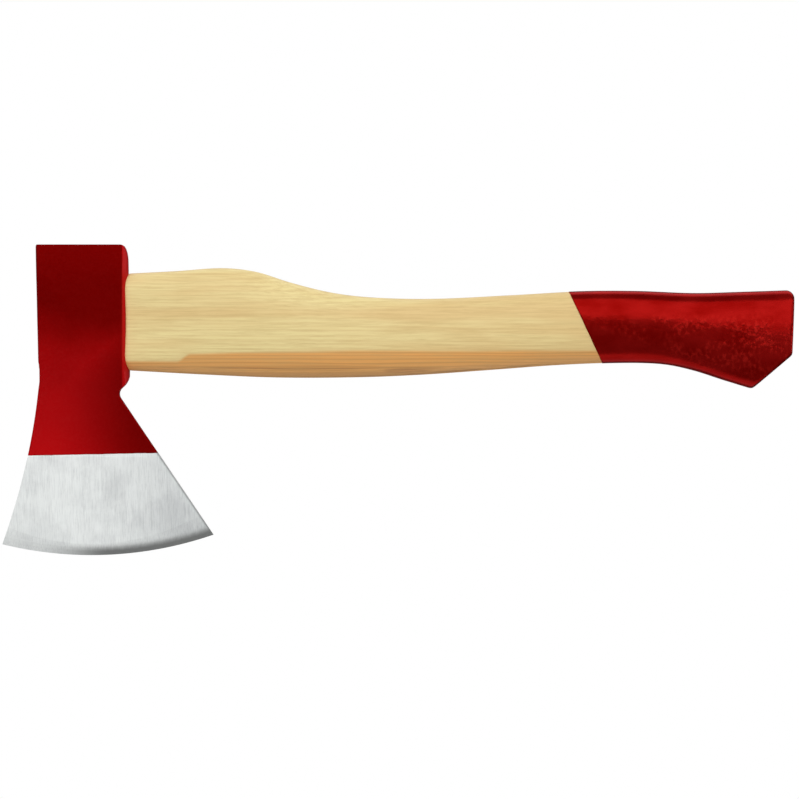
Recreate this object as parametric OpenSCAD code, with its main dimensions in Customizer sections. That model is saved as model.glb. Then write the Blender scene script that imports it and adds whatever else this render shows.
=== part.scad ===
// Small fire axe: a forged head with a flat poll and a bearded blade, wedged on a curved ash handle.
// Millimetres. The handle runs along X with the butt towards +X, the poll is up and the edge is down.
// The origin is the middle of the grip, so a hand, a hook or a bracket meets the axe there.

/* [Overall] */
// Length from the outer face of the head to the butt
handle_length = 360; // [320:1:400]
// Distance from the outer face of the head to the middle of the grip
grip_to_head = 280; // [240:1:290]
// How far the middle of the grip lies below the axis of the eye
grip_below_eye = 2; // [0:0.5:5]

/* [Head] */
// Height of the poll face above the axis of the eye
poll_height = 37; // [32:0.5:42]
// Length of the poll face along the handle
poll_length = 39.8; // [36:0.1:42]
// Thickness across the poll face
poll_thickness = 25; // [22:0.5:27]
// Thickness across the cheeks of the eye
eye_thickness = 28; // [26:0.5:32]
// How far the domed face beside the handle swells past the cheeks
dome_swell = 4; // [2:0.5:5]
// Depth of the cutting edge below the axis of the eye
edge_depth = 110.8; // [106:0.2:115]
// Radius of the curved cutting edge
edge_radius = 178; // [160:1:200]
// Slope of each honed bevel against the middle of the blade, in degrees
bevel_slope = 18; // [14:1:22]

/* [Eye and wedges] */
// Half width of the eye at the outer face of the head
eye_half_width = 10; // [9:0.5:11]
// How much the half width shrinks on the way to the handle
eye_taper = 1; // [0.5:0.1:1.5]
// Distance of the eye's round ends from its middle
eye_end_reach = 12; // [10:0.5:13]
// How far the end of the tenon sits inside the outer face
tenon_recess = 0.5; // [0.2:0.1:2]
// Depth that the wooden wedge is driven
wedge_depth = 28; // [20:1:34]
// Thickness of the wooden wedge at the outer face
wedge_thickness = 4.4; // [3:0.2:6]
// Outer diameter of the steel ring wedge
ring_diameter = 16; // [14:0.5:17]
// Depth that the ring wedge is driven
ring_depth = 12; // [8:1:16]

/* [Hidden] */

// the lengths along the handle below were drawn for this handle
DRAWN_LENGTH = 360;
// the eye runs right through the head, from its outer face to the handle's shoulder
EYE_LENGTH = 43;
SHOULDER = 43.5;
// how far the tenon's own shape runs on inside the shoulder
TENON_ROOT = 6;
// outline of the handle's back, its belly and half its width: [distance from the outer face, height]
BACK = [
    [43, 23.4], [66, 24.6], [88, 26], [104, 24.2], [120, 19.2], [140, 14.3], [160, 12],
    [188, 11.4], [225, 13.1], [258, 14.9], [285, 15], [312, 14], [335, 14.6], [362, 15.5],
];
BELLY = [
    [43, -23], [80, -25], [115, -26.4], [155, -26.2], [185, -24.9], [215, -22.8], [250, -20.3],
    [280, -19.3], [298, -20], [312, -22.9], [326, -27.4], [345, -33.2], [364, -39],
];
HALF_WIDTH = [
    [43, 10.4], [88, 11.2], [140, 10.8], [200, 10.4], [270, 11], [312, 11.8], [345, 12.6], [364, 12.6],
];
// the section of the handle is an oval with flattened sides, squarer beside the head: [distance, power]
SQUARENESS = [[43, 4.5], [70, 3.05], [100, 2.5], [364, 2.5]];
RING_POINTS = 28;
RINGS = 40;
// the eased corner of the shoulder: [distance past the head, how far the surface is drawn in]
SHOULDER_EASE = [[-3.5, 1.2], [0.3, 0.9], [0.9, 0.3]];
EASE_LENGTH = 1.8;
// the rings beside the head follow its dome, and flatten by this distance from the outer face
DOME_FADE = 70;
// the butt is cut square, with a rounded back corner and a slanted cut at the toe
BUTT_CORNER = 4.2;
BUTT_LEAN = 1.1;
TOE_TOP = -15.5;
TOE_CUT = [-40, -34];
OVERRUN = 6;

// the outer face of the head leans out towards the poll, and has a small step below the eye
FACE_TOP = -0.9;
FACE_STEP = [[0.9, -28], [0.9, -21], [0.4, -19]];
EASED = 0.8;
// ends of the round lug under the handle and of the notch between the lug and the beard
LUG = [[44, -24.8], [39.6, -31.6]];
LUG_ROUND = 0.8;
NOTCH = [[39.1, -32.6], [39.6, -36.2]];
NOTCH_ROUND = 0.5;
// the straight beard and the hollow front run on a little past the edge
EDGE_MARGIN = 1.2;
BEARD_END = 91;
FRONT_TOP = [0.2, -33];
FRONT_END = -19.5;
FRONT_HOLLOW = 2.6;
// the cheeks are flat between these heights, round towards the poll and run out into the blade
CHEEK_TOP = 18;
CHEEK_FOOT = -12;
CHEEK_ROUND = 0.36;
// [half thickness, height] where the flank turns hollow and where the flat blade begins
THROAT = [10.2, -30];
THROAT_ROUND = 0.96;
BLADE_TOP = [3.4, -64];
BLADE_HOLLOW = 1.9;
BLADE_FOOT = 1;
EDGE_MIDDLE = 25.5;
DOME_RADIUS = (pow(eye_thickness / 2, 2) + pow(dome_swell, 2)) / (2 * dome_swell);
DOME_TOP_HEIGHT = 8.6;
LUG_HEIGHT = -31;
// the wedge is an eighth as thick at its tip
WEDGE_TAPER = 8;
RING_WALL = 2;
RING_TIP = [0.8, 1.2];
CUT_MARGIN = 1;
WIDE = 60;
$fn = 96;

// points of a round arc from p to q that bows out by rise to the left of the way from p to q
function bow(p, q, rise, steps) =
    let (
        chord = norm(q - p),
        along = (q - p) / chord,
        side = [-along[1], along[0]],
        half = 2 * atan(2 * rise / chord),
        radius = chord / (2 * sin(half))
    )
    [
        for (i = [0:steps])
            let (turn = half * (2 * i / steps - 1))
            (p + q) / 2 + along * radius * sin(turn) + side * radius * (cos(turn) - cos(half))
    ];

// smooth curve through hand-placed stations of [distance, value]
function span(line, x, i = 0) =
    i >= len(line) - 2 || x < line[i + 1][0] ? i : span(line, x, i + 1);
function steepness(line, i) =
    let (a = line[max(i - 1, 0)], b = line[min(i + 1, len(line) - 1)])
    (b[1] - a[1]) / (b[0] - a[0]);
function smooth(line, x) =
    let (
        i = span(line, x),
        gap = line[i + 1][0] - line[i][0],
        t = (x - line[i][0]) / gap
    )
    (2 * pow(t, 3) - 3 * pow(t, 2) + 1) * line[i][1]
    + (pow(t, 3) - 2 * pow(t, 2) + t) * gap * steepness(line, i)
    + (3 * pow(t, 2) - 2 * pow(t, 3)) * line[i + 1][1]
    + (pow(t, 3) - pow(t, 2)) * gap * steepness(line, i + 1);

// side view of the head: poll, lug, notch under the lug, straight beard, edge and hollow front
function head_outline() = concat(
    [[FACE_TOP, poll_height - EASED], [FACE_TOP + EASED, poll_height]],
    [
        for (turn = [0:15:90])
            [
                poll_length + (EYE_LENGTH - poll_length) * sin(turn),
                poll_height - DOME_TOP_HEIGHT * (1 - cos(turn))
            ]
    ],
    bow(LUG[0], LUG[1], LUG_ROUND, 5),
    bow(NOTCH[0], NOTCH[1], -NOTCH_ROUND, 4),
    [[BEARD_END, -edge_depth - EDGE_MARGIN]],
    bow([FRONT_END, -edge_depth - EDGE_MARGIN], FRONT_TOP, -FRONT_HOLLOW, 12),
    FACE_STEP
);

// half of the head's thickness, seen along the handle, from the poll down to the edge
function half_thickness() = concat(
    [[poll_thickness / 2 - EASED, poll_height]],
    bow([poll_thickness / 2, poll_height - EASED], [eye_thickness / 2, CHEEK_TOP], CHEEK_ROUND, 4),
    bow([eye_thickness / 2, CHEEK_FOOT], THROAT, THROAT_ROUND, 6),
    bow(THROAT, BLADE_TOP, -BLADE_HOLLOW, 8),
    [[BLADE_FOOT, -edge_depth - EDGE_MARGIN]]
);

// the dome beside the handle rounds only the eye and its lug
module dome() {
    translate([poll_length + dome_swell - DOME_RADIUS, 0, LUG_HEIGHT])
        cylinder(r = DOME_RADIUS, h = WIDE * 2);
    translate([-WIDE, -WIDE / 2, LUG_HEIGHT])
        cube([WIDE + poll_length / 2, WIDE, WIDE * 2]);
    translate([-WIDE, -WIDE / 2, LUG_HEIGHT - WIDE * 2])
        cube([WIDE * 3, WIDE, WIDE * 2]);
}

// a disc with a pointed rim cuts the curved edge and both of its bevels
module honed_edge() {
    depth = WIDE / 2;
    flat = edge_radius - depth / tan(bevel_slope);
    translate([EDGE_MIDDLE, 0, edge_radius - edge_depth])
        rotate([90, 0, 0])
        rotate_extrude()
        polygon([[0, -depth], [flat, -depth], [edge_radius, 0], [flat, depth], [0, depth]]);
}

module head_blank() {
    half = half_thickness();
    both = concat(half, [for (i = [len(half) - 1:-1:0]) [-half[i][0], half[i][1]]]);
    intersection() {
        rotate([90, 0, 0])
            linear_extrude(height = WIDE, center = true)
            polygon(head_outline());
        translate([-WIDE, 0, 0])
            rotate([90, 0, 90])
            linear_extrude(height = WIDE * 3)
            polygon(both);
        dome();
        honed_edge();
    }
}

// the eye and the tenon: an oval with straight sides that widens towards the outer face
module eye_form(from, to) {
    near = eye_half_width - eye_taper * from / EYE_LENGTH;
    far = eye_half_width - eye_taper * to / EYE_LENGTH;
    for (end = [-1, 1])
        translate([from, 0, end * eye_end_reach])
            rotate([0, 90, 0])
            cylinder(r1 = near, r2 = far, h = to - from);
    linear_extrude(height = 2 * eye_end_reach, center = true)
        polygon([[from, near], [to, far], [to, -far], [from, -near]]);
}

module wedge_form() {
    tip = wedge_thickness / WEDGE_TAPER;
    linear_extrude(height = WIDE, center = true)
        polygon([
            [tenon_recess - CUT_MARGIN, wedge_thickness / 2],
            [wedge_depth, tip],
            [wedge_depth, -tip],
            [tenon_recess - CUT_MARGIN, -wedge_thickness / 2]
        ]);
}

module ring_form() {
    outer = ring_diameter / 2;
    translate([tenon_recess, 0, 0])
        rotate([0, 90, 0])
        rotate_extrude()
        polygon([
            [outer - RING_WALL, 0],
            [outer, 0],
            [outer - RING_TIP[0], ring_depth],
            [outer - RING_TIP[1], ring_depth]
        ]);
}

// a longer or shorter handle stretches only beyond its shoulder
function stretched(x) =
    x + max(0, x - SHOULDER) * (handle_length - DRAWN_LENGTH) / (DRAWN_LENGTH - SHOULDER);

// one closed ring of the handle's surface, drawn in by inset
function handle_ring(x, inset) =
    let (
        fullness = 2 / smooth(SQUARENESS, x),
        back = smooth(BACK, x),
        belly = smooth(BELLY, x),
        tall = (back - belly) / 2 - inset,
        wide = smooth(HALF_WIDTH, x) - inset,
        follow = max(0, min(1, (DOME_FADE - x) / (DOME_FADE - SHOULDER)))
    )
    [
        for (i = [0:RING_POINTS - 1])
            let (
                turn = 360 * i / RING_POINTS,
                y = wide * sign(cos(turn)) * pow(abs(cos(turn)), fullness),
                z = tall * sign(sin(turn)) * pow(abs(sin(turn)), fullness),
                hollow = DOME_RADIUS - sqrt(pow(DOME_RADIUS, 2) - pow(y, 2))
            )
            [stretched(x) - hollow * follow, y, (back + belly) / 2 + z]
    ];

module handle_loft() {
    start = SHOULDER + EASE_LENGTH;
    pitch = (DRAWN_LENGTH + OVERRUN - start) / RINGS;
    rings = concat(
        [for (ease = SHOULDER_EASE) handle_ring(SHOULDER + ease[0], ease[1])],
        [for (i = [0:RINGS]) handle_ring(start + i * pitch, 0)]
    );
    last = len(rings) - 1;
    walls = [
        for (r = [0:last - 1], i = [0:RING_POINTS - 1])
            let (next = (i + 1) % RING_POINTS)
            [
                r * RING_POINTS + i,
                (r + 1) * RING_POINTS + i,
                (r + 1) * RING_POINTS + next,
                r * RING_POINTS + next
            ]
    ];
    caps = [
        [for (i = [0:RING_POINTS - 1]) i],
        [for (i = [RING_POINTS - 1:-1:0]) last * RING_POINTS + i]
    ];
    polyhedron([for (ring = rings) each ring], concat(walls, caps), convexity = 6);
}

// side view of what is left of the handle once the butt and its toe are sawn
module butt_saw() {
    corner = [handle_length - BUTT_CORNER, smooth(BACK, DRAWN_LENGTH) - BUTT_CORNER];
    toe = [handle_length - BUTT_LEAN, TOE_TOP];
    rotate([90, 0, 0])
        linear_extrude(height = WIDE, center = true)
        polygon(concat(
            [[0, WIDE], [corner[0], WIDE]],
            [for (turn = [90:-15:0]) corner + BUTT_CORNER * [cos(turn), sin(turn)]],
            [toe, toe + TOE_CUT, [0, toe[1] + TOE_CUT[1]]]
        ));
}

module in_place() {
    translate([-grip_to_head, 0, grip_below_eye])
        children();
}

module head() {
    color("firebrick")
        in_place()
        difference() {
            head_blank();
            eye_form(-WIDE / 4, WIDE);
        }
}

// the part of the handle inside the head, with the kerf and the seat of the ring
module tenon() {
    difference() {
        eye_form(tenon_recess, SHOULDER + TENON_ROOT);
        wedge_form();
        ring_form();
    }
}

module handle() {
    color("burlywood")
        in_place() {
            difference() {
                intersection() {
                    handle_loft();
                    butt_saw();
                }
                head_blank();
            }
            tenon();
        }
}

module wooden_wedge() {
    color("tan")
        in_place()
        difference() {
            intersection() {
                eye_form(tenon_recess, EYE_LENGTH);
                wedge_form();
            }
            ring_form();
        }
}

module ring_wedge() {
    color("dimgray")
        in_place()
        ring_form();
}

head();
handle();
wooden_wedge();
ring_wedge();
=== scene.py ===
"""Small fire axe: painted forged head, ground blade, curved ash handle with a lacquered grip."""

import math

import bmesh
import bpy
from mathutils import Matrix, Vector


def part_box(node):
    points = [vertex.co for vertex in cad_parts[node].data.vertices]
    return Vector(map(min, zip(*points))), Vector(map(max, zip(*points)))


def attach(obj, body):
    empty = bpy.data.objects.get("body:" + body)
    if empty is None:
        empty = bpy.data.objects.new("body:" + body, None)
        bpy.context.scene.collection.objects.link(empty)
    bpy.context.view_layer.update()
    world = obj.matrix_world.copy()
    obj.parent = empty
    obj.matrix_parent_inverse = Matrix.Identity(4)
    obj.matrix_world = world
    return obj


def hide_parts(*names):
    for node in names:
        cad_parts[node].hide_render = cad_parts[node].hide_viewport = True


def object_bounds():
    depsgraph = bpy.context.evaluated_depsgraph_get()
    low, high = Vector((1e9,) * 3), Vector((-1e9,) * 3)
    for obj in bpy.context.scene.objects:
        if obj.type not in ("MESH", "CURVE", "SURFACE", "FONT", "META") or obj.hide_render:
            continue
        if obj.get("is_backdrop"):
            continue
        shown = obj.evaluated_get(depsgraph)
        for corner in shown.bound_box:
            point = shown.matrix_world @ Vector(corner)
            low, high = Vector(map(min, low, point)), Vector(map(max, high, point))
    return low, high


bl_info = {
    "name": "Fire axe",
    "version": (1, 0, 0),
    "blender": (4, 5, 0),
    "location": "View3D > Sidebar > Fire axe",
    "description": "Builds the head, the handle and the studio of a small fire axe around its frame",
    "category": "Object",
}

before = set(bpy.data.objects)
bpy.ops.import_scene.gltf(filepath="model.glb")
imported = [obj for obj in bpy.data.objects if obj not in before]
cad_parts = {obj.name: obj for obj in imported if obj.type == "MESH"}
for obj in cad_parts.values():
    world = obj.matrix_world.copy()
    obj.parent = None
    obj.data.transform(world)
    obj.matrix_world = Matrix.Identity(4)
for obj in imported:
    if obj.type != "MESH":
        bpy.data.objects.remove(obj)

MM = 0.001
BODY = "root"

# Drawn sizes, in millimetres from the outer face of the head and from the axis of the eye.
# A drawn point is (distance from the outer face, height); one seen along the handle is
# (half thickness, height).
HANDLE_LENGTH = 360
POLL_HEIGHT = 37
POLL_LENGTH = 39.8
POLL_THICKNESS = 25
EYE_LENGTH = 43
EYE_THICKNESS = 28
CHEEK_TOP = 18
CHEEK_LOW = -12
CHEEK_SWELL = 0.36
THROAT = (10.2, -30)
THROAT_ROUND = 0.96
BLADE_TOP = (3.4, -64)
BLADE_HOLLOW = 1.9
EDGE_DEPTH = 110.8
EDGE_RADIUS = 178
EDGE_MIDDLE = 25.5
EDGE_SPARE = (1, -EDGE_DEPTH - 1.2)
# The honed bevel, rounding softly into the flank: (distance back from the edge, half thickness).
HONED = ((0, 0), (1, 0.4), (2.3, 0.78), (3.8, 1.12), (5.6, 1.36), (10, 1.9), (100, 30))
DOME_SWELL = 4
DOME_RADIUS = ((EYE_THICKNESS / 2) ** 2 + DOME_SWELL**2) / (2 * DOME_SWELL)
DOME_TOP_HEIGHT = 8.6
DOME_CUT = 18
LUG_HEIGHT = -31
BEARD = ((39.6, -36.2), (91, -112))
EYE_HALF_WIDTH = 10
EYE_TAPER = 1
EYE_END_REACH = 12
TENON_RECESS = 0.5
TENON_OVERLAP = 6
SHOULDER = 42.9
FACE_FLAT = 0.8
BUTT_CORNER = 4.2
TOE_TOP = (358.9, -15.5)
TOE_LOW = (318.9, -49.5)
# Reach of cutting tools past the axe.
FAR = 60

# The handle's back, belly and half width at chosen stations: (distance from the outer face, height).
BACK = (
    (43, 23.4), (66, 24.6), (88, 26), (104, 24.2), (120, 19.2), (140, 14.3), (160, 12),
    (188, 11.4), (225, 13.1), (258, 14.9), (285, 15), (312, 14), (335, 14.6), (362, 15.5),
)
BELLY = (
    (43, -23), (80, -25), (115, -26.4), (155, -26.2), (185, -24.9), (215, -22.8), (250, -20.3),
    (280, -19.3), (298, -20), (312, -22.9), (326, -27.4), (345, -33.2), (364, -39),
)
HALF_WIDTH = (
    (43, 10.4), (88, 11.2), (140, 10.8), (200, 10.4), (270, 11), (312, 11.8), (345, 12.6), (364, 12.6),
)
# The eased corner of the shoulder: (distance past the head, how far the surface is drawn in).
SHOULDER_EASE = ((0, 0.6), (0.3, 0.3), (0.8, 0.1), (1.6, 0))
# Power of the oval across the handle, squarer beside the head.
SQUARENESS = ((43, 4.5), (70, 3.05), (100, 2.5), (364, 2.5))
OVAL = 2.5
SQUARE_MOST = 3
SECTION_PITCH = 3
OVERRUN = 6
# Distance at which the sections stand upright again after leaning back against the dome.
DOME_FADE = 70

# How far each coated part is carried past the edge of its coat while its corners are softened.
HEAD_SPARE = 12
GRIP_SPARE = 6
# How far out a wedge's seat is cut, so that the cut is clean where wedge and tenon end together.
SEAT_SHIFT = 0.05
# Length of the end of the handle that holds all of its sawn corners.
SAWN_END = 35

# Where the frame puts the drawing's zero.
OUTER_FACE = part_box("handle")[1].x - HANDLE_LENGTH * MM
EYE_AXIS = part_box("head")[1].z - POLL_HEIGHT * MM


def place(x, y, z):
    """A drawn point, in the frame and in metres."""
    return Vector((OUTER_FACE + x * MM, y * MM, EYE_AXIS + z * MM))


# ---------------------------------------------------------------- drawing helpers


def bow(start, end, rise, steps):
    """Points of a round arc that bows out by rise to the left of the way from start to end."""
    start, end = Vector(start), Vector(end)
    chord = (end - start).length
    way = (end - start) / chord
    side = Vector((-way.y, way.x))
    half = 2 * math.atan(2 * rise / chord)
    radius = chord / (2 * math.sin(half))
    middle = (start + end) / 2
    points = []
    for i in range(steps + 1):
        turn = half * (2 * i / steps - 1)
        lift = math.cos(turn) - math.cos(half)
        points.append(tuple(middle + way * radius * math.sin(turn) + side * radius * lift))
    return points


def smooth(line, x):
    """Height of a smooth curve through the stations of line at x."""
    last = len(line) - 1
    i = max(k for k in range(last) if k == 0 or line[k][0] <= x)

    def steepness(k):
        before, after = line[max(k - 1, 0)], line[min(k + 1, last)]
        return (after[1] - before[1]) / (after[0] - before[0])

    gap = line[i + 1][0] - line[i][0]
    t = (x - line[i][0]) / gap
    rise = (2 * t**3 - 3 * t**2 + 1) * line[i][1] + (3 * t**2 - 2 * t**3) * line[i + 1][1]
    lean = (t**3 - 2 * t**2 + t) * steepness(i) + (t**3 - t**2) * steepness(i + 1)
    return rise + lean * gap


def dome_hollow(y):
    """How far the domed face beside the handle has fallen back at y."""
    return DOME_RADIUS - math.sqrt(DOME_RADIUS**2 - min(abs(y), DOME_RADIUS) ** 2)


# ---------------------------------------------------------------- modelling helpers


def begin(name):
    """Names the object that an operator has just added, and returns it."""
    piece = bpy.context.object
    piece.name = name
    piece.data.name = name
    return piece


def rest():
    """Leaves edit mode and deselects everything, the frame's own nodes included."""
    if bpy.context.mode != "OBJECT":
        bpy.ops.object.mode_set(mode="OBJECT")
    bpy.ops.object.select_all(action="DESELECT")


def take(piece):
    """Makes one piece the only selected and active one."""
    rest()
    piece.select_set(True)
    bpy.context.view_layer.objects.active = piece


def edit(piece):
    """Opens one piece in edit mode."""
    take(piece)
    bpy.ops.object.mode_set(mode="EDIT")


def select_edges(piece, test):
    """In edit mode, selects the edges that pass a test and nothing else."""
    bpy.ops.mesh.select_mode(type="EDGE")
    bpy.ops.mesh.select_all(action="DESELECT")
    mesh = bmesh.from_edit_mesh(piece.data)
    for edge in mesh.edges:
        if test(edge):
            edge.select_set(True)
    bmesh.update_edit_mesh(piece.data)


def apply(piece, kind, **settings):
    """Adds a modifier, sets it and applies it."""
    take(piece)
    modifier = piece.modifiers.new(kind.title(), kind)
    for key, value in settings.items():
        setattr(modifier, key, value)
    bpy.ops.object.modifier_apply(modifier=modifier.name)


def carve(piece, tool, operation="DIFFERENCE"):
    """Cuts, joins or keeps the common part with another solid, which is used up."""
    apply(piece, "BOOLEAN", operation=operation, object=tool, solver="EXACT")
    bpy.data.objects.remove(tool)


def copy_of(piece, name):
    """A copy of a piece, with its own mesh."""
    take(piece)
    bpy.ops.object.duplicate()
    return begin(name)


def face_out():
    """In edit mode, turns all faces outwards."""
    bpy.ops.mesh.select_all(action="SELECT")
    bpy.ops.mesh.normals_make_consistent(inside=False)


def merge_doubles(threshold):
    """In edit mode, merges all vertices that lie together."""
    bpy.ops.mesh.select_all(action="SELECT")
    bpy.ops.mesh.remove_doubles(threshold=threshold)


def drawn_solid(name, points, way):
    """Draws an outline through places in one plane, fills it and pulls it into a solid along way."""
    rest()
    bpy.ops.mesh.primitive_plane_add(size=MM, location=points[0], enter_editmode=True)
    piece = begin(name)
    bpy.ops.mesh.select_mode(type="VERT")
    bpy.ops.mesh.select_all(action="SELECT")
    bpy.ops.mesh.merge(type="CENTER")
    for before, after in zip(points, points[1:]):
        bpy.ops.mesh.extrude_vertices_move(TRANSFORM_OT_translate={"value": after - before})
    bpy.ops.mesh.select_all(action="SELECT")
    bpy.ops.mesh.edge_face_add()
    bpy.ops.mesh.extrude_region_move(TRANSFORM_OT_translate={"value": way})
    face_out()
    settle(piece)
    return piece


def settle(piece):
    """Puts a piece's place into its mesh, which leaves its object at the origin."""
    take(piece)
    bpy.ops.object.transform_apply(location=True, rotation=True, scale=True)


def keep_side(piece, point, normal):
    """Saws a piece along a plane, closes the cut and keeps the side that normal points away from."""
    edit(piece)
    bpy.ops.mesh.select_all(action="SELECT")
    bpy.ops.mesh.bisect(plane_co=point, plane_no=normal, use_fill=True, clear_outer=True)
    rest()


def even_skin(piece, pitch, rounds):
    """Gives a carved solid an even skin and softens its corners, as forging and dipping do."""
    apply(piece, "REMESH", mode="VOXEL", voxel_size=pitch * MM, use_smooth_shade=True)
    apply(piece, "SMOOTH", factor=0.5, iterations=rounds)


def square_across(name, x):
    """A square across the handle, one metre to each side of its middle, open and all selected."""
    rest()
    spot = place(x, 0, 0)
    upright = (0, math.pi / 2, 0)
    bpy.ops.mesh.primitive_plane_add(size=2, location=spot, rotation=upright, enter_editmode=True)
    piece = begin(name)
    bpy.ops.mesh.select_mode(type="VERT")
    bpy.ops.mesh.select_all(action="SELECT")
    return piece, spot


# ---------------------------------------------------------------- the forging


def side_outline():
    """Side view of the head: poll, lug, notch under the lug, straight beard and hollow front."""
    below = BEARD[1][1]
    back = [
        (
            POLL_LENGTH + (EYE_LENGTH - POLL_LENGTH) * math.sin(math.radians(turn)),
            POLL_HEIGHT - DOME_TOP_HEIGHT * (1 - math.cos(math.radians(turn))),
        )
        for turn in range(0, 91, 10)
    ]
    lug = bow((44, -24.8), (39.6, -31.6), 0.8, 8)
    notch = bow((39.1, -32.6), BEARD[0], -0.5, 6)
    front = bow((-19.5, below), (0.2, -33), -2.6, 32)
    return [(-0.9, POLL_HEIGHT), *back, *lug, *notch, BEARD[1], *front, (0.9, -28), (0.9, -21), (0.4, -19)]


def thickness_outline():
    """The head's thickness seen along the handle, from the poll down to the edge."""
    half = bow((POLL_THICKNESS / 2, POLL_HEIGHT), (EYE_THICKNESS / 2, CHEEK_TOP), CHEEK_SWELL, 12)
    half += bow((EYE_THICKNESS / 2, CHEEK_LOW), THROAT, THROAT_ROUND, 16)
    half += bow(THROAT, BLADE_TOP, -BLADE_HOLLOW, 24)[1:]
    half.append(EDGE_SPARE)
    return half + [(-y, z) for y, z in reversed(half)]


def edge_disc():
    """A disc with a pointed rim. What it shares with the head is the curved edge and its honed bevels."""
    middle = place(EDGE_MIDDLE, 0, EDGE_RADIUS - EDGE_DEPTH)
    rim = [(EDGE_RADIUS - back, -half) for back, half in reversed(HONED)]
    rim += [(EDGE_RADIUS - back, half) for back, half in HONED[1:]]
    rest()
    bpy.ops.mesh.primitive_circle_add(
        vertices=720,
        radius=rim[0][0] * MM,
        fill_type="NGON",
        location=middle + Vector((0, rim[0][1] * MM, 0)),
        rotation=(math.pi / 2, 0, 0),
        enter_editmode=True,
    )
    disc = begin("edge_disc")
    for before, after in zip(rim, rim[1:]):
        step = (0, (after[1] - before[1]) * MM, 0)
        share = after[0] / before[0]
        bpy.ops.mesh.extrude_region_move(TRANSFORM_OT_translate={"value": step})
        spot = middle + Vector((0, after[1] * MM, 0))
        bpy.ops.transform.resize(value=(share, 1, share), center_override=spot)
    face_out()
    settle(disc)
    return disc


def eye_solid(name, start, end):
    """The oval of the eye and of the tenon in it, wider towards the outer face."""
    tall = EYE_END_REACH + EYE_HALF_WIDTH
    piece, spot = square_across(name, start)
    bpy.ops.transform.resize(value=(1, EYE_HALF_WIDTH * MM, tall * MM), center_override=spot)
    # Just short of the half width, so that the two corners at each end never quite meet.
    round_end = EYE_HALF_WIDTH * MM * 0.999
    bpy.ops.mesh.bevel(offset=round_end, affect="VERTICES", segments=16, profile=0.5)
    bpy.ops.mesh.select_all(action="SELECT")
    step = end - start
    bpy.ops.mesh.extrude_region_move(TRANSFORM_OT_translate={"value": (step * MM, 0, 0)})
    less = EYE_TAPER * step / EYE_LENGTH
    share = (1, (EYE_HALF_WIDTH - less) / EYE_HALF_WIDTH, (tall - less) / tall)
    bpy.ops.transform.resize(value=share, center_override=spot + Vector((step * MM, 0, 0)))
    face_out()
    settle(piece)
    return piece


def forging():
    """The whole head as one solid, before it is softened, painted and ground."""
    side = [place(x, -FAR / 2, z) for x, z in side_outline()]
    head = drawn_solid("forging", side, Vector((0, FAR * MM, 0)))
    across = [place(-FAR, y, z) for y, z in thickness_outline()]
    carve(head, drawn_solid("thickness", across, Vector((FAR * 4 * MM, 0, 0))), "INTERSECT")
    middle = POLL_LENGTH + DOME_SWELL
    rim = [(middle - dome_hollow(y), y) for y in range(-DOME_CUT, DOME_CUT + 1)]
    plan = [place(x, y, LUG_HEIGHT) for x, y in [*rim, (FAR * 2, DOME_CUT), (FAR * 2, -DOME_CUT)]]
    carve(head, drawn_solid("dome_cut", plan, Vector((0, 0, FAR * 2 * MM))))
    carve(head, edge_disc(), "INTERSECT")
    carve(head, eye_solid("eye", -FAR / 10, FAR))
    return head


def paint_line(settings):
    """A point on the edge of the paint and the direction across it, down towards the blade."""
    fall = Vector((settings.paint_slope, 0, -1)).normalized()
    return place(0, 0, settings.paint_height / MM), fall


def painted_head(forged, settings):
    """The painted part: softened forging, with the steel sawn off at the edge of the paint."""
    piece = copy_of(forged, "painted_head")
    spot, fall = paint_line(settings)
    keep_side(piece, spot + fall * HEAD_SPARE * MM, fall)
    even_skin(piece, pitch=0.5, rounds=6)
    keep_side(piece, spot, fall)
    return piece


def bare_blade(forged, settings):
    """The ground blade, a coat of paint thinner than the part above it, with eased outer corners."""
    piece = copy_of(forged, "ground_blade")
    spot, fall = paint_line(settings)
    keep_side(piece, spot, -fall)
    edit(piece)
    merge_doubles(MM / 100)
    corner = math.radians(50)
    # Leaves out the sawn face that meets the paint.
    top = spot.z - 4 * MM

    def outer_corner(edge):
        middle = (edge.verts[0].co + edge.verts[1].co) / 2
        if not edge.is_manifold or abs(middle.y) <= MM / 2 or middle.z >= top:
            return False
        return edge.calc_face_angle() > corner

    select_edges(piece, outer_corner)
    bpy.ops.mesh.bevel(offset=0.25 * MM, affect="EDGES", segments=2, profile=0.5)
    bpy.ops.mesh.select_all(action="SELECT")
    coat = 1 - settings.paint_coat / (BLADE_TOP[0] * MM)
    bpy.ops.transform.resize(value=(1, coat, 1), center_override=(0, 0, 0))
    rest()
    return piece


# ---------------------------------------------------------------- the handle


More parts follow.
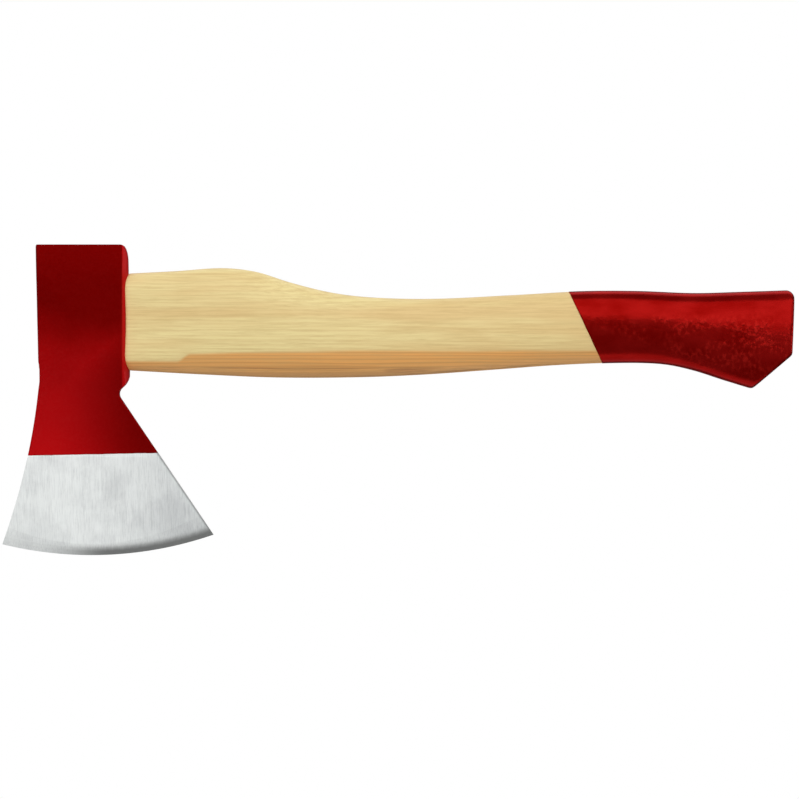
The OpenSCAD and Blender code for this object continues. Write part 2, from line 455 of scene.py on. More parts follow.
def handle_solid():
    """The shaped handle from its shoulder to past the butt, pulled out section by section."""
    stations = [(SHOULDER + past, drawn_in) for past, drawn_in in SHOULDER_EASE]
    sections = int((HANDLE_LENGTH + OVERRUN - stations[-1][0]) / SECTION_PITCH)
    stations += [(stations[-1][0] + SECTION_PITCH * (i + 1), 0) for i in range(sections)]
    piece, spot = square_across("handle_solid", stations[0][0])
    roundness = 2 ** (-2 / OVAL)
    bpy.ops.mesh.bevel(offset=1, offset_type="OFFSET", affect="VERTICES", segments=20, profile=roundness)
    merge_doubles(MM)
    bpy.ops.mesh.select_all(action="SELECT")
    here = (spot, 1, 1)
    for count, (x, drawn_in) in enumerate(stations):
        back, belly = smooth(BACK, x), smooth(BELLY, x)
        wide = (smooth(HALF_WIDTH, x) - drawn_in) * MM
        tall = ((back - belly) / 2 - drawn_in) * MM
        spot = place(x, 0, (back + belly) / 2)
        step = spot - here[0]
        if count:
            bpy.ops.mesh.extrude_region_move(TRANSFORM_OT_translate={"value": step})
        else:
            bpy.ops.transform.translate(value=step)
        bpy.ops.transform.resize(value=(1, wide / here[1], tall / here[2]), center_override=spot)
        here = (spot, wide, tall)
    face_out()
    settle(piece)
    push(piece, "NORMAL", SQUARE_MOST, square_shoulder)
    push(piece, "X", -dome_hollow(EYE_HALF_WIDTH + 2), follow_dome)
    return piece


def push(piece, direction, full, amount):
    """Moves every vertex along a direction by amount(x, y, z) millimetres, up to the full amount."""
    group = piece.vertex_groups.new(name="push")
    for vertex in piece.data.vertices:
        x, y, z = (vertex.co - place(0, 0, 0)) / MM
        group.add([vertex.index], amount(x, y, z) / abs(full), "REPLACE")
    apply(piece, "DISPLACE", direction=direction, mid_level=0, strength=full * MM, vertex_group="push")
    piece.vertex_groups.clear()


def square_shoulder(x, y, z):
    """How much fuller the corners of the section are beside the head than along the grip."""
    x = max(x, SHOULDER)
    back, belly = smooth(BACK, x), smooth(BELLY, x)
    high = z - (back + belly) / 2
    wide = abs(y) / smooth(HALF_WIDTH, x)
    tall = abs(high) / ((back - belly) / 2)
    # The middle of the end face isn't moved.
    if wide + tall < 0.1:
        return 0

    def reach(power):
        return (wide**power + tall**power) ** (-1 / power)

    return max(0, reach(smooth(SQUARENESS, x)) / reach(OVAL) - 1) * math.hypot(y, high)


def follow_dome(x, y, z):
    """How far the sections beside the head lean back, so that the shoulder lies on the dome."""
    fade = max(0, min(1, (DOME_FADE - x) / (DOME_FADE - SHOULDER)))
    return fade * max(0, dome_hollow(y) - FACE_FLAT)


def butt_waste():
    """What the saw takes off the end: a square cut with a round back corner and a slanted toe."""
    corner = (HANDLE_LENGTH - BUTT_CORNER, smooth(BACK, HANDLE_LENGTH) - BUTT_CORNER)
    turns = [math.radians(turn) for turn in range(90, -1, -10)]
    rim = [(corner[0] + BUTT_CORNER * math.cos(t), corner[1] + BUTT_CORNER * math.sin(t)) for t in turns]
    outline = [(corner[0], FAR), *rim, TOE_TOP, TOE_LOW, (FAR * 8, TOE_LOW[1]), (FAR * 8, FAR)]
    points = [place(x, -FAR / 2, z) for x, z in outline]
    return drawn_solid("butt_waste", points, Vector((0, FAR * MM, 0)))


def coat_line(settings):
    """A point on the edge of the lacquer and the direction across it, towards the butt."""
    across = Vector((1, 0, settings.coat_slant)).normalized()
    return place(settings.coat_start / MM, 0, 0), across


def bare_wood(solid, settings):
    """The bare ash with its tenon, kerf and ring seat, a coat of lacquer thinner than the grip."""
    piece = copy_of(solid, "ash_handle")
    edit(piece)
    bpy.ops.mesh.select_all(action="SELECT")
    bpy.ops.transform.shrink_fatten(value=-settings.coat_thickness)
    rest()
    spot, across = coat_line(settings)
    keep_side(piece, spot, across)
    carve(piece, eye_solid("tenon", TENON_RECESS, SHOULDER + TENON_OVERLAP), "UNION")
    for node in ("wooden_wedge", "ring_wedge"):
        tool = copy_of(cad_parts[node], node + "_seat")
        edit(tool)
        merge_doubles(MM / 1000)
        bpy.ops.transform.translate(value=(-SEAT_SHIFT * MM, 0, 0))
        rest()
        carve(piece, tool)
    take(piece)
    bpy.ops.object.shade_smooth_by_angle(angle=math.radians(35))
    return piece


def grip_coat(solid, settings):
    """The dipped end of the handle, with its sawn corners rounded by the lacquer."""
    piece = copy_of(solid, "lacquered_grip")
    spot, across = coat_line(settings)
    keep_side(piece, spot - across * GRIP_SPARE * MM, -across)
    edit(piece)
    corner = math.radians(35)
    end = place(HANDLE_LENGTH - SAWN_END, 0, 0).x

    def sawn_rim(edge):
        return edge.is_manifold and edge.verts[0].co.x > end and edge.calc_face_angle() > corner

    select_edges(piece, sawn_rim)
    bpy.ops.mesh.bevel(offset=1.1 * MM, affect="EDGES", segments=3, profile=0.5)
    rest()
    even_skin(piece, pitch=0.6, rounds=6)
    keep_side(piece, spot, -across)
    return piece


# ---------------------------------------------------------------- material helpers


def new_finish(name):
    """A material with one surface shader, its node tree and the object's own coordinates."""
    material = bpy.data.materials.new(name)
    material.use_nodes = True
    tree = material.node_tree
    shader = tree.nodes["Principled BSDF"]
    where = tree.nodes.new("ShaderNodeTexCoord").outputs["Object"]
    return material, tree, shader, where


def axes(tree, where):
    """The three coordinates of where, one by one."""
    node = tree.nodes.new("ShaderNodeSeparateXYZ")
    wire(tree, node.inputs[0], where)
    return node.outputs["X"], node.outputs["Y"], node.outputs["Z"]


def wire(tree, socket, value):
    """Links a socket to an output, or sets its value."""
    if isinstance(value, bpy.types.NodeSocket):
        tree.links.new(value, socket)
    else:
        socket.default_value = value


def calc(tree, operation, *values):
    """A Math node's result."""
    node = tree.nodes.new("ShaderNodeMath")
    node.operation = operation
    for socket, value in zip(node.inputs, values):
        wire(tree, socket, value)
    return node.outputs[0]


def chain(tree, operation, first, *others):
    """The result of one operation on all values, taken from the first to the last."""
    for value in others:
        first = calc(tree, operation, first, value)
    return first


def plus(tree, *values):
    return chain(tree, "ADD", *values)


def minus(tree, value, less):
    return calc(tree, "SUBTRACT", value, less)


def times(tree, *values):
    return chain(tree, "MULTIPLY", *values)


def most(tree, *values):
    return chain(tree, "MAXIMUM", *values)


def distance(tree, *steps):
    """How far steps along different axes lead together."""
    squares = [calc(tree, "POWER", step, 2.0) for step in steps]
    return calc(tree, "SQRT", plus(tree, *squares))


def noise(tree, where, scale, detail, roughness):
    """Even noise, finer with a higher scale."""
    node = tree.nodes.new("ShaderNodeTexNoise")
    wire(tree, node.inputs["Vector"], where)
    node.inputs["Scale"].default_value = scale
    node.inputs["Detail"].default_value = detail
    node.inputs["Roughness"].default_value = roughness
    return node.outputs["Fac"]


def grain(tree, where, scale, detail, roughness, shift=(0, 0, 0)):
    """Noise with its own scale along each axis, so that it runs long where the scale is low."""
    node = tree.nodes.new("ShaderNodeMapping")
    wire(tree, node.inputs["Vector"], where)
    node.inputs["Scale"].default_value = scale
    node.inputs["Location"].default_value = shift
    return noise(tree, node.outputs["Vector"], 1, detail, roughness)


def between(tree, value, low, high, start=0.0, end=1.0):
    """Maps value from low..high to start..end with soft ends."""
    node = tree.nodes.new("ShaderNodeMapRange")
    node.interpolation_type = "SMOOTHSTEP"
    wire(tree, node.inputs["Value"], value)
    node.inputs["From Min"].default_value = low
    node.inputs["From Max"].default_value = high
    node.inputs["To Min"].default_value = start
    node.inputs["To Max"].default_value = end
    return node.outputs["Result"]


def along(tree, x, span, start=0.0, end=1.0):
    """Maps a place along the axe, over a span of drawn distances, to start..end."""
    low, high = (place(reach, 0, 0).x for reach in span)
    return between(tree, x, low, high, start, end)


def up(tree, z, span, start=0.0, end=1.0):
    """Maps a height on the axe, over a span of drawn heights, to start..end."""
    low, high = (place(0, 0, height).z for height in span)
    return between(tree, z, low, high, start, end)


def stripe(tree, value, middle, reach):
    """1 where value is at middle, falling softly to 0 at reach to each side."""
    rising = between(tree, value, middle - reach, middle)
    return times(tree, rising, between(tree, value, middle, middle + reach, 1, 0))


def beyond(tree, x, z, start, end):
    """How far a place lies to the left of the drawn line from start to end."""
    start, end = (place(spot[0], 0, spot[1]) for spot in (start, end))
    way = (end - start).normalized()
    sideways = times(tree, minus(tree, x, start.x), -way.z)
    return plus(tree, sideways, times(tree, minus(tree, z, start.z), way.x))


def blend(tree, share, first, second):
    """A colour between first, where share is 0, and second, where it is 1."""
    node = tree.nodes.new("ShaderNodeMix")
    node.data_type = "RGBA"
    wire(tree, node.inputs["Factor"], share)
    for name, value in (("A", first), ("B", second)):
        colour = [socket for socket in node.inputs if socket.name == name and socket.type == "RGBA"][0]
        wire(tree, colour, value if isinstance(value, bpy.types.NodeSocket) else (*value, 1))
    return [socket for socket in node.outputs if socket.type == "RGBA"][0]


def surface(tree, shader, colour, roughness):
    """Gives the shader its colour and its roughness."""
    wire(tree, shader.inputs["Base Color"], colour)
    wire(tree, shader.inputs["Roughness"], roughness)


def lustre(shader, metallic, level=0.5, tint=(1, 1, 1)):
    """How metallic a surface is, and the strength and the colour of its clear reflection."""
    shader.inputs["Metallic"].default_value = metallic
    shader.inputs["Specular IOR Level"].default_value = level
    shader.inputs["Specular Tint"].default_value = (*tint, 1)


def relief(tree, shader, height, depth):
    """Raises the surface by depth metres where height is 1."""
    node = tree.nodes.new("ShaderNodeBump")
    node.inputs["Strength"].default_value = 1.0
    node.inputs["Distance"].default_value = depth
    wire(tree, node.inputs["Height"], height)
    tree.links.new(node.outputs["Normal"], shader.inputs["Normal"])


def dress(piece, material):
    """Gives a piece one material and no other."""
    piece.data.materials.clear()
    piece.data.materials.append(material)


# ---------------------------------------------------------------- finishes

# Spans over which a finish changes, as drawn distances from the outer face or drawn heights.
ENAMEL_SHADE_CLIMB = (-38, 7)
ENAMEL_SHADE_REACH = (2, 55)
DOME_HIGHLIGHT_REACH = (POLL_LENGTH + 0.1, POLL_LENGTH + 0.9)
DOME_HIGHLIGHT_FOOT = (-36, -33)
STEEL_REACH = (15, 75)
HONED_SHADE_REACH = (0, 35)
WARM_REACH = (110, 250)
HEART_STEP = (66, 73)
HEART_RISE = (60, 150)
SHADE_LINE_START = (78, 100)
SHADE_LINE_END = (145, 172)
FLECKED = (250, 352)
FLECKS_GROW = (250, 330)

# Colours that show only in small marks and on the wedges.
ENAMEL_SPECK = (0.5, 0.03, 0.03)
# The rim colour is painted shade along the sawn end of the grip.
LACQUER_RIM_SHADE = (0.05, 0.0005, 0.0004)
HARDWOOD = (0.36, 0.2, 0.09)
HARDWOOD_DARK = (0.2, 0.1, 0.045)
DULL_STEEL = (0.42, 0.42, 0.42)
RUST = (0.2, 0.11, 0.06)


def red_enamel(settings):
    """Sprayed red enamel over slightly uneven forged steel, with painted shade towards the poll and the
    handle.
    """
    material, tree, shader, where = new_finish("red_enamel")
    x, _, z = axes(tree, where)
    cloud = noise(tree, where, 28, 3, 0.55)
    climb = plus(tree, z, times(tree, minus(tree, cloud, 0.5), 0.03))
    # Painted shade: the enamel darkens towards the poll and towards the handle.
    dark = most(tree, up(tree, climb, ENAMEL_SHADE_CLIMB), along(tree, x, ENAMEL_SHADE_REACH, 0, 0.95))
    # A painted highlight keeps the domed face beside the handle bright, in the lit enamel colour.
    dome_highlight = times(tree, along(tree, x, DOME_HIGHLIGHT_REACH), up(tree, z, DOME_HIGHLIGHT_FOOT))
    dark = times(tree, dark, minus(tree, 1.0, dome_highlight))
    colour = blend(tree, dark, settings.enamel_lit, settings.enamel_shaded)
    speckle = between(tree, noise(tree, where, 900, 2, 0.6), 0.35, 0.75)
    speckle = times(tree, speckle, between(tree, dark, 0, 1, 0.11, 0.04))
    colour = blend(tree, speckle, colour, ENAMEL_SPECK)
    surface(tree, shader, colour, between(tree, cloud, 0.3, 0.7, 0.3, 0.42))
    lustre(shader, 0.2, 0.03, (1, 0.06, 0.05))
    peel = noise(tree, where, 320, 2, 0.5)
    dents = noise(tree, where, 55, 2, 0.5)
    relief(tree, shader, plus(tree, times(tree, peel, 0.12), dents), 0.0004)
    return material


def ground_steel(settings):
    """Bright steel ground upright, from the paint down to the honed bevel, with painted shade on the bevel
    and along the beard.
    """
    material, tree, shader, where = new_finish("ground_steel")
    x, _, z = axes(tree, where)
    scratches = grain(tree, where, (2600, 2600, 60), 3, 0.7)
    strokes = grain(tree, where, (700, 700, 16), 2, 0.6)
    blotch = noise(tree, where, 38, 5, 0.65)
    dark = plus(
        tree,
        times(tree, between(tree, scratches, 0.42, 0.7), 0.35),
        times(tree, between(tree, blotch, 0.42, 0.68), 0.32),
        along(tree, x, STEEL_REACH, 0, 0.4),
    )
    colour = blend(tree, dark, settings.steel, settings.steel_dark)
    # Painted shade on the honed bevel near the edge, growing towards the beard.
    middle = place(EDGE_MIDDLE, 0, EDGE_RADIUS - EDGE_DEPTH)
    away = distance(tree, minus(tree, x, middle.x), minus(tree, z, middle.z))
    away = plus(tree, away, times(tree, strokes, MM))
    honed = between(tree, away, (EDGE_RADIUS - 5.2) * MM, (EDGE_RADIUS - 1) * MM)
    honed = times(tree, honed, along(tree, x, HONED_SHADE_REACH))
    colour = blend(tree, honed, colour, settings.steel_honed_shade)
    # Painted shade: a dark line along the edge of the beard.
    corner = between(tree, beyond(tree, x, z, *BEARD), -1.1 * MM, -0.2 * MM, 0, 0.75)
    colour = blend(tree, corner, colour, settings.steel_honed_shade)
    surface(tree, shader, colour, between(tree, strokes, 0.3, 0.7, 0.38, 0.52))
    lustre(shader, 0.35)
    relief(tree, shader, plus(tree, scratches, times(tree, strokes, 0.6)), 0.00004)
    return material


def growth(tree, where, y, z, settings):
    """Growth layers around the tree's middle: runs from 0 to 1 through each year's wood."""
    sway = grain(tree, where, (5, 25, 25), 2, 0.5)
    uneven = grain(tree, where, (4, 260, 260), 2, 0.6, (0, 3, 1))
    away = distance(tree, minus(tree, z, settings.pith_height), minus(tree, y, settings.pith_side))
    uneven = times(tree, uneven, settings.ring_pitch * 1.6)
    radius = plus(tree, away, times(tree, sway, 0.006), uneven)
    return calc(tree, "FRACT", calc(tree, "DIVIDE", radius, settings.ring_pitch))


def heart_levels(tree, x, z, drift, settings):
    """Height above the top of the heartwood, and the same height where its lines run."""
    start = plus(tree, along(tree, x, HEART_STEP, -0.003, 0), along(tree, x, HEART_RISE, -0.002, 0))
    level = minus(tree, z, plus(tree, start, settings.heart_height))
    level = plus(tree, level, times(tree, minus(tree, drift, 0.5), 0.004))
    return level, plus(tree, level, start)


def heart_grain_and_shade(tree, where, x, level, depth):
    """The long dark line of painted shade, the flames, and the painted shade on the lower side of the
    heartwood, from 0 to 1.
    """
    gaps = grain(tree, where, (14, 90, 90), 2, 0.6, (1, 4, 2))
    whole = times(tree, along(tree, x, SHADE_LINE_START), along(tree, x, SHADE_LINE_END, 1, 0), 0.75)
    broken = between(tree, gaps, 0.42, 0.6, 0.05, 0.8)
    # A long dark line of painted shade runs along the belly, broken in places.
    line = times(tree, stripe(tree, depth, -0.0083, 0.0009), most(tree, whole, broken))
    flame = between(tree, grain(tree, where, (16, 430, 430), 3, 0.6, (5, 2, 1)), 0.47, 0.66, 0, 0.8)
    flame = times(tree, flame, between(tree, level, -0.009, -0.005, 1, 0.1))
    # The last term is painted shade that darkens the lower side of the belly.
    return most(tree, line, flame, between(tree, depth, -0.0108, -0.0098, 0.45, 0))


def ash(settings):
    """Pale ash: growth layers, fine long fibres, short pores and a warm heartwood layer in the belly, with
    painted shade in a long line and on its lower side.
    """
    material, tree, shader, where = new_finish("ash_wood")
    x, y, z = axes(tree, where)
    turn = growth(tree, where, y, z, settings)
    late = times(tree, between(tree, turn, 0.4, 0.85), between(tree, turn, 0.9, 1.0, 1, 0))
    fibre = grain(tree, where, (42, 1150, 1150), 5, 0.75)
    pores = between(tree, grain(tree, where, (120, 2300, 2300), 1, 0.5), 0.6, 0.75)
    pores = times(tree, pores, between(tree, turn, 0.0, 0.35, 1, 0.15))
    drift = grain(tree, where, (9, 90, 90), 3, 0.55, (3, 1, 2))
    warm = plus(tree, drift, along(tree, x, WARM_REACH, 0, 0.17))
    colour = blend(tree, between(tree, warm, 0.36, 0.74), settings.sapwood, settings.sapwood_warm)
    colour = blend(tree, times(tree, late, 0.22), colour, settings.latewood)
    level, depth = heart_levels(tree, x, z, drift, settings)
    lines = most(tree, times(tree, late, 0.35), heart_grain_and_shade(tree, where, x, level, depth))
    heart_and_shade = blend(tree, lines, settings.heartwood, settings.heart_line_and_shade)
    share = times(tree, between(tree, level, -0.0012, 0.0005, 1, 0), 0.9)
    colour = blend(tree, share, colour, heart_and_shade)
    shade = plus(tree, times(tree, between(tree, fibre, 0.42, 0.64), 0.33), times(tree, pores, 0.2))
    colour = blend(tree, shade, colour, settings.fibre)
    surface(tree, shader, colour, between(tree, fibre, 0.3, 0.7, 0.48, 0.62))
    lustre(shader, 0, 0.3)
    relief(tree, shader, minus(tree, times(tree, fibre, 0.4), pores), 0.00006)
    return material


def bubbles(tree, where, x, z):
    """Flecks in a band that follows the grip and widens towards the butt, from 0 to 1: bubbles, made lighter
    by painted glints.
    """
    flecks = between(tree, grain(tree, where, (560, 480, 420), 2, 0.5), 0.4, 0.72)
    patches = between(tree, grain(tree, where, (60, 90, 90), 2, 0.5, (2, 0, 5)), 0.28, 0.6)
    middle = along(tree, x, FLECKED, place(0, 0, 0).z, place(0, 0, -12).z)
    reach = along(tree, x, FLECKED, 0.004, 0.017)
    off = calc(tree, "DIVIDE", calc(tree, "ABSOLUTE", minus(tree, z, middle)), reach)
    inside = between(tree, off, 0.5, 1.1, 1, 0)
    return times(tree, flecks, patches, inside, along(tree, x, FLECKS_GROW, 0.25, 1))


def dip_lacquer(settings):
    """Thick glossy dip lacquer with runs, small bubbles with painted glints towards the butt, and a sawn rim
    darkened by painted shade.
    """
    material, tree, shader, where = new_finish("dip_lacquer")
    x, _, z = axes(tree, where)
    runs = grain(tree, where, (60, 120, 120), 3, 0.5)
    fleck = bubbles(tree, where, x, z)
    colour = blend(tree, between(tree, runs, 0.3, 0.7), settings.lacquer_deep, settings.lacquer)
    # The lighter flecks are bubbles with painted glints on them.
    colour = blend(tree, times(tree, fleck, 0.38), colour, settings.lacquer_fleck_and_glint)
    # Painted shade: a dark rim along the sawn end and the toe.
    past = most(tree, beyond(tree, x, z, TOE_TOP, TOE_LOW), minus(tree, x, place(HANDLE_LENGTH, 0, 0).x))
    rim = times(tree, between(tree, past, -1.4 * MM, -0.3 * MM), 0.7)
    colour = blend(tree, rim, colour, LACQUER_RIM_SHADE)
    surface(tree, shader, colour, between(tree, fleck, 0, 1, 0.23, 0.34))
    lustre(shader, 0.5, 0.05, (1, 0.08, 0.07))
    relief(tree, shader, plus(tree, times(tree, runs, 0.7), times(tree, fleck, 0.3)), 0.00025)
    return material


def sawn_hardwood():
    """The darker hardwood of the wedge, with its fibres across the eye."""
    material, tree, shader, where = new_finish("sawn_hardwood")
    fibre = grain(tree, where, (200, 2200, 300), 3, 0.6)
    colour = blend(tree, between(tree, fibre, 0.3, 0.7), HARDWOOD, HARDWOOD_DARK)
    surface(tree, shader, colour, between(tree, fibre, 0.3, 0.7, 0.6, 0.8))
    relief(tree, shader, fibre, 0.0001)
    return material


def turned_steel():
    """The dull steel of the ring wedge, with specks of rust."""
    material, tree, shader, where = new_finish("turned_steel")
    speck = noise(tree, where, 900, 3, 0.6)
    colour = blend(tree, between(tree, speck, 0.5, 0.75), DULL_STEEL, RUST)
    surface(tree, shader, colour, between(tree, speck, 0.3, 0.7, 0.35, 0.6))
    lustre(shader, 0.9)
    relief(tree, shader, speck, 0.00005)
    return material


# ---------------------------------------------------------------- settings


def colour_setting(name, description, default):
    """A colour that a user can change."""
    return bpy.props.FloatVectorProperty(
        name=name, description=description, subtype="COLOR", size=3, min=0, max=1, default=default
    )


def length_setting(name, description, default):
    """A length, in metres, that a user can change."""
    return bpy.props.FloatProperty(
        name=name, description=description, unit="LENGTH", subtype="DISTANCE", precision=5, default=default
    )


class HeadSettings(bpy.types.PropertyGroup):
    """Sizes and colours of the head."""

    paint_height: length_setting("Paint height", "Height of the paint's edge at the outer face", -0.0633)
    paint_slope: bpy.props.FloatProperty(
        name="Paint slope", description="Rise of the paint's edge for each length along it", default=0.021
    )
    paint_coat: length_setting("Paint coat", "Thickness of the paint", 0.0001)
    # The two enamel colours are shaded and lit copies of one red; the change between them is painted shade.
    enamel_shaded: colour_setting("Enamel, dark", "Colour of the paint near the poll", (0.145, 0.0003, 0.0002))
    enamel_lit: colour_setting("Enamel, bright", "Colour of the paint near the blade", (0.46, 0.0035, 0.005))
    steel: colour_setting("Steel", "Colour of the ground steel", (0.95, 0.98, 0.965))
    steel_dark: colour_setting("Steel in scratches", "Colour in the grinding marks", (0.58, 0.6, 0.605))
    # The honed steel colour is painted shade, on the bevel and along the beard.
    steel_honed_shade: colour_setting("Honed steel", "Colour of the honed bevel", (0.22, 0.226, 0.222))


class HandleSettings(bpy.types.PropertyGroup):
    """Sizes and colours of the handle."""

    coat_start: length_setting("Coat start", "Distance of the lacquer's edge from the outer face", 0.2595)
    coat_slant: bpy.props.FloatProperty(
        name="Coat slant", description="Lean of the lacquer's edge towards the butt below", default=0.468
    )
    coat_thickness: length_setting("Coat thickness", "Thickness of the lacquer", 0.00015)
    ring_pitch: length_setting("Growth layer", "Thickness of one year's growth", 0.0018)
    pith_height: length_setting("Pith height", "Height of the tree's middle against the handle", -0.16)
    pith_side: length_setting("Pith side", "Sideways distance of the tree's middle", 0.03)
    heart_height: length_setting("Heartwood height", "Top of the warm heartwood layer", -0.0112)
    sapwood: colour_setting("Sapwood", "Palest colour of the wood", (0.79, 0.658, 0.312))
    sapwood_warm: colour_setting("Warm sapwood", "Warmer colour of the wood", (0.72, 0.525, 0.232))
    latewood: colour_setting("Latewood", "Colour of the growth lines", (0.6, 0.4, 0.155))
    heartwood: colour_setting("Heartwood", "Colour of the warm layer in the belly", (0.75, 0.35, 0.094))
    # The line colour draws grain lines, and also painted shade in a long line and on the lower side of the
    # belly.
    heart_line_and_shade: colour_setting("Heartwood line", "Colour of the lines in the belly", (0.34, 0.13, 0.035))
    fibre: colour_setting("Fibre", "Colour of fibres and pores", (0.52, 0.34, 0.13))
    lacquer: colour_setting("Lacquer", "Main colour of the dip lacquer", (0.26, 0.0045, 0.0038))
    lacquer_deep: colour_setting("Deep lacquer", "Colour where the lacquer is thick", (0.19, 0.0014, 0.001))
    # The fleck colour is partly bubbles and thin spots, partly painted glints.
    lacquer_fleck_and_glint: colour_setting("Lacquer fleck", "Colour of bubbles and thin spots", (0.55, 0.02, 0.014))


class StudioSettings(bpy.types.PropertyGroup):
    """Camera and floor."""

    distance: length_setting("Camera distance", "Distance of the camera from the axe", 6.0)
    aim_right: length_setting("Aim right", "How far the camera looks to the right of the middle", 0.00065)
    aim_up: length_setting("Aim up", "How far the camera looks above the middle", 0.0002)
    margin: bpy.props.FloatProperty(
        name="Margin", description="Width of the view for each length of axe", default=1.009
    )
    floor_drop: length_setting("Floor drop", "Gap between the cutting edge and the floor", 0.35)
    floor: colour_setting("Floor", "Colour of the floor", (0.2, 0.2, 0.2))


# ---------------------------------------------------------------- operators


def finish_piece(piece, slot, material, *nodes):
    """Everything that each new piece needs: finish, body and the nodes it stands for. Its slot is not used.
    """
    dress(piece, material)
    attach(piece, BODY)
    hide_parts(*nodes)


class AXE_OT_head(bpy.types.Operator):
    """Model the painted head and its ground blade"""

    bl_idname = "axe.head"
    bl_label = "Head"

    def execute(self, context):
        settings = context.scene.axe_head
        forged = forging()
        finish_piece(painted_head(forged, settings), "red_paint", red_enamel(settings), "head")
        finish_piece(bare_blade(forged, settings), "blade_steel", ground_steel(settings), "head")
        bpy.data.objects.remove(forged)
        return {"FINISHED"}


class AXE_OT_handle(bpy.types.Operator):
    """Model the ash handle and its lacquered grip"""

    bl_idname = "axe.handle"
    bl_label = "Handle"

    def execute(self, context):
        settings = context.scene.axe_handle
        solid = handle_solid()
        carve(solid, butt_waste())
        finish_piece(bare_wood(solid, settings), "ash_wood", ash(settings), "handle")
        finish_piece(grip_coat(solid, settings), "grip_lacquer", dip_lacquer(settings), "handle")
        bpy.data.objects.remove(solid)
        return {"FINISHED"}


class AXE_OT_wedges(bpy.types.Operator):
    """Give the wooden wedge and the ring wedge their finishes"""

    bl_idname = "axe.wedges"
    bl_label = "Wedges"

    def execute(self, context):
        dress(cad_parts["wooden_wedge"], sawn_hardwood())
        dress(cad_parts["ring_wedge"], turned_steel())
        return {"FINISHED"}


# Soft panels: name, place from the axe's middle, width and height, power, and whether the panel is
# a fill, which shows in no reflection.
LIGHTS = (
    ("key_above", (-0.2, -1.25, 1.05), (2.0, 1.9), 27.5, False),
    ("front", (-0.2, -3.0, -0.1), (3.0, 1.3), 13, True),
    ("below", (-0.3, -1.0, -1.2), (1.6, 0.8), 4.5, True),
    ("rim_below", (0.2, 0.15, -1.4), (1.8, 1.3), 10, False),
    ("right", (1.5, -0.5, 0.5), (0.8, 1.0), 9.5, False),
    ("back_above", (0.0, 1.1, 1.5), (2.0, 1.2), 14, False),
    ("back_right", (1.29, 0.94, 0.1), (0.6, 1.0), 3, False),
    ("back_left", (-1.6, 1.2, 0.3), (1.8, 1.7), 15, False),
)
SURROUNDING_LIGHT = 0.12
FLOOR_GLOW = 0.945
FLOOR_RADIUS = 6


def soft_light(name, where, towards, size, power, fill):
    """A large soft panel of a width and height, turned to face towards."""
    bpy.ops.object.light_add(type="AREA", location=where)
    lamp = bpy.context.object
    lamp.name = name
    lamp.data.shape = "RECTANGLE"
    lamp.data.size, lamp.data.size_y = size
    lamp.data.energy = power
    lamp.rotation_euler = (towards - where).to_track_quat("-Z", "Y").to_euler()
    lamp.visible_camera = False
    lamp.visible_glossy = not fill


def white_world():
    """A white backdrop for the camera, and a dimmer surrounding light for everything else."""
    world = bpy.data.worlds.new("studio")
    bpy.context.scene.world = world
    world.use_nodes = True
    tree = world.node_tree
    seen = tree.nodes["Background"]
    seen.inputs["Color"].default_value = (1, 1, 1, 1)
    felt = tree.nodes.new("ShaderNodeBackground")
    felt.inputs["Color"].default_value = (1, 1, 1, 1)
    felt.inputs["Strength"].default_value = SURROUNDING_LIGHT
    mix = tree.nodes.new("ShaderNodeMixShader")
    ray = tree.nodes.new("ShaderNodeLightPath")
    tree.links.new(ray.outputs["Is Camera Ray"], mix.inputs[0])
    tree.links.new(felt.outputs[0], mix.inputs[1])
    tree.links.new(seen.outputs[0], mix.inputs[2])
    tree.links.new(mix.outputs[0], tree.nodes["World Output"].inputs["Surface"])


def floor_finish(settings):
    """Matt white paper that glows a little, so that it never turns grey."""
    material, _, shader, _ = new_finish("paper_floor")
    shader.inputs["Base Color"].default_value = (*settings.floor, 1)
    shader.inputs["Roughness"].default_value = 0.9
    shader.inputs["Specular IOR Level"].default_value = 0.0
    shader.inputs["Emission Color"].default_value = (1, 1, 1, 1)
    shader.inputs["Emission Strength"].default_value = FLOOR_GLOW
    return material


def paper_floor(spot, settings):
    """A round sheet of paper under the axe, which neither lights it nor shows in it."""
    rest()
    bpy.ops.mesh.primitive_circle_add(vertices=128, radius=FLOOR_RADIUS, fill_type="NGON", location=spot)
    floor = begin("paper_floor")
    settle(floor)
    dress(floor, floor_finish(settings))
    floor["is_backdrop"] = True
    floor.visible_diffuse = floor.visible_glossy = floor.visible_shadow = False


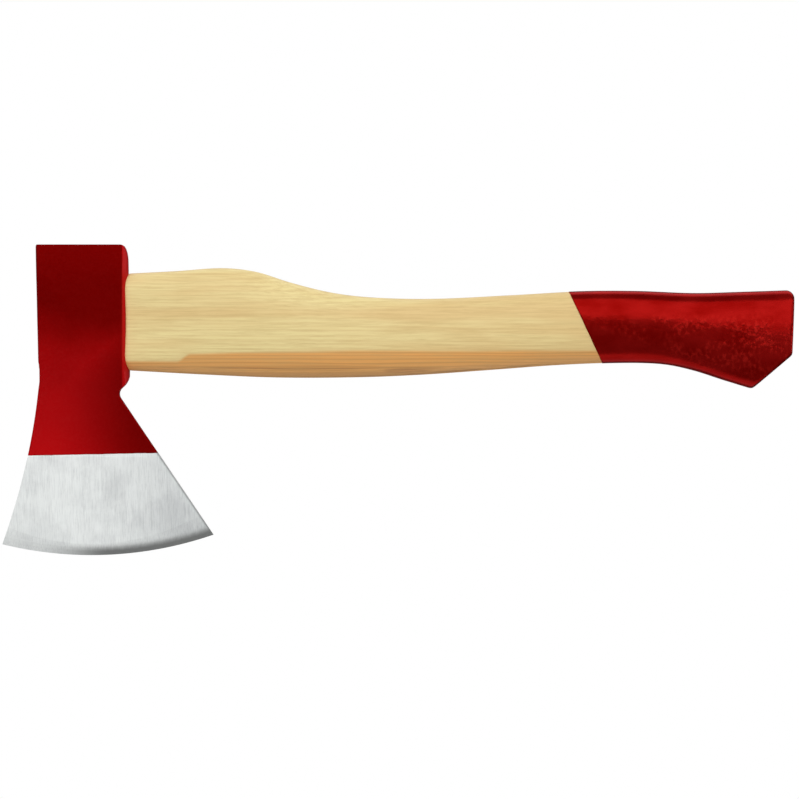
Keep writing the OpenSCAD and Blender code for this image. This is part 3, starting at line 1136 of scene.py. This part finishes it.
def aim_camera(centre, length, settings):
    """A long lens far in front of the axe, level with its middle, that fills the view with it."""
    rest()
    spot = centre + Vector((settings.aim_right, -settings.distance, settings.aim_up))
    bpy.ops.object.camera_add(location=spot, rotation=(math.pi / 2, 0, 0))
    camera = bpy.context.object
    camera.name = "camera"
    camera.data.lens = camera.data.sensor_width * settings.distance / (length * settings.margin)
    camera.data.clip_end = 20
    bpy.context.scene.camera = camera


class AXE_OT_stage(bpy.types.Operator):
    """Set up the floor, the soft lights and the camera"""

    bl_idname = "axe.stage"
    bl_label = "Stage"

    def execute(self, context):
        settings = context.scene.axe_studio
        low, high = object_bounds()
        centre = (low + high) / 2
        paper_floor((centre.x, 0, low.z - settings.floor_drop), settings)
        for name, spot, size, power, fill in LIGHTS:
            soft_light(name, centre + Vector(spot), centre, size, power, fill)
        white_world()
        aim_camera(centre, high.x - low.x, settings)
        context.scene.view_settings.view_transform = "Standard"
        return {"FINISHED"}


class AXE_PT_panel(bpy.types.Panel):
    """Lists what builds the axe"""

    bl_idname = "AXE_PT_panel"
    bl_label = "Fire axe"
    bl_space_type = "VIEW_3D"
    bl_region_type = "UI"
    bl_category = "Fire axe"

    def draw(self, context):
        for kind in STEPS:
            self.layout.operator(kind.bl_idname)
        for group in ("axe_head", "axe_handle", "axe_studio"):
            settings = getattr(context.scene, group)
            box = self.layout.box()
            for name in settings.bl_rna.properties.keys():
                if name not in ("rna_type", "name"):
                    box.prop(settings, name)


STEPS = (AXE_OT_head, AXE_OT_handle, AXE_OT_wedges, AXE_OT_stage)
GROUPS = {"axe_head": HeadSettings, "axe_handle": HandleSettings, "axe_studio": StudioSettings}
CLASSES = (*GROUPS.values(), *STEPS, AXE_PT_panel)


def register():
    """Adds the classes and the scene's settings."""
    for kind in CLASSES:
        bpy.utils.register_class(kind)
    for name, group in GROUPS.items():
        setattr(bpy.types.Scene, name, bpy.props.PointerProperty(type=group))


def unregister():
    """Takes away what register has added."""
    for name in GROUPS:
        delattr(bpy.types.Scene, name)
    for kind in reversed(CLASSES):
        bpy.utils.unregister_class(kind)


def main():
    """Builds everything in order."""
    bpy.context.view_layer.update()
    register()
    bpy.ops.axe.head()
    bpy.ops.axe.handle()
    bpy.ops.axe.wedges()
    bpy.ops.axe.stage()


if __name__ == "__main__":
    main()
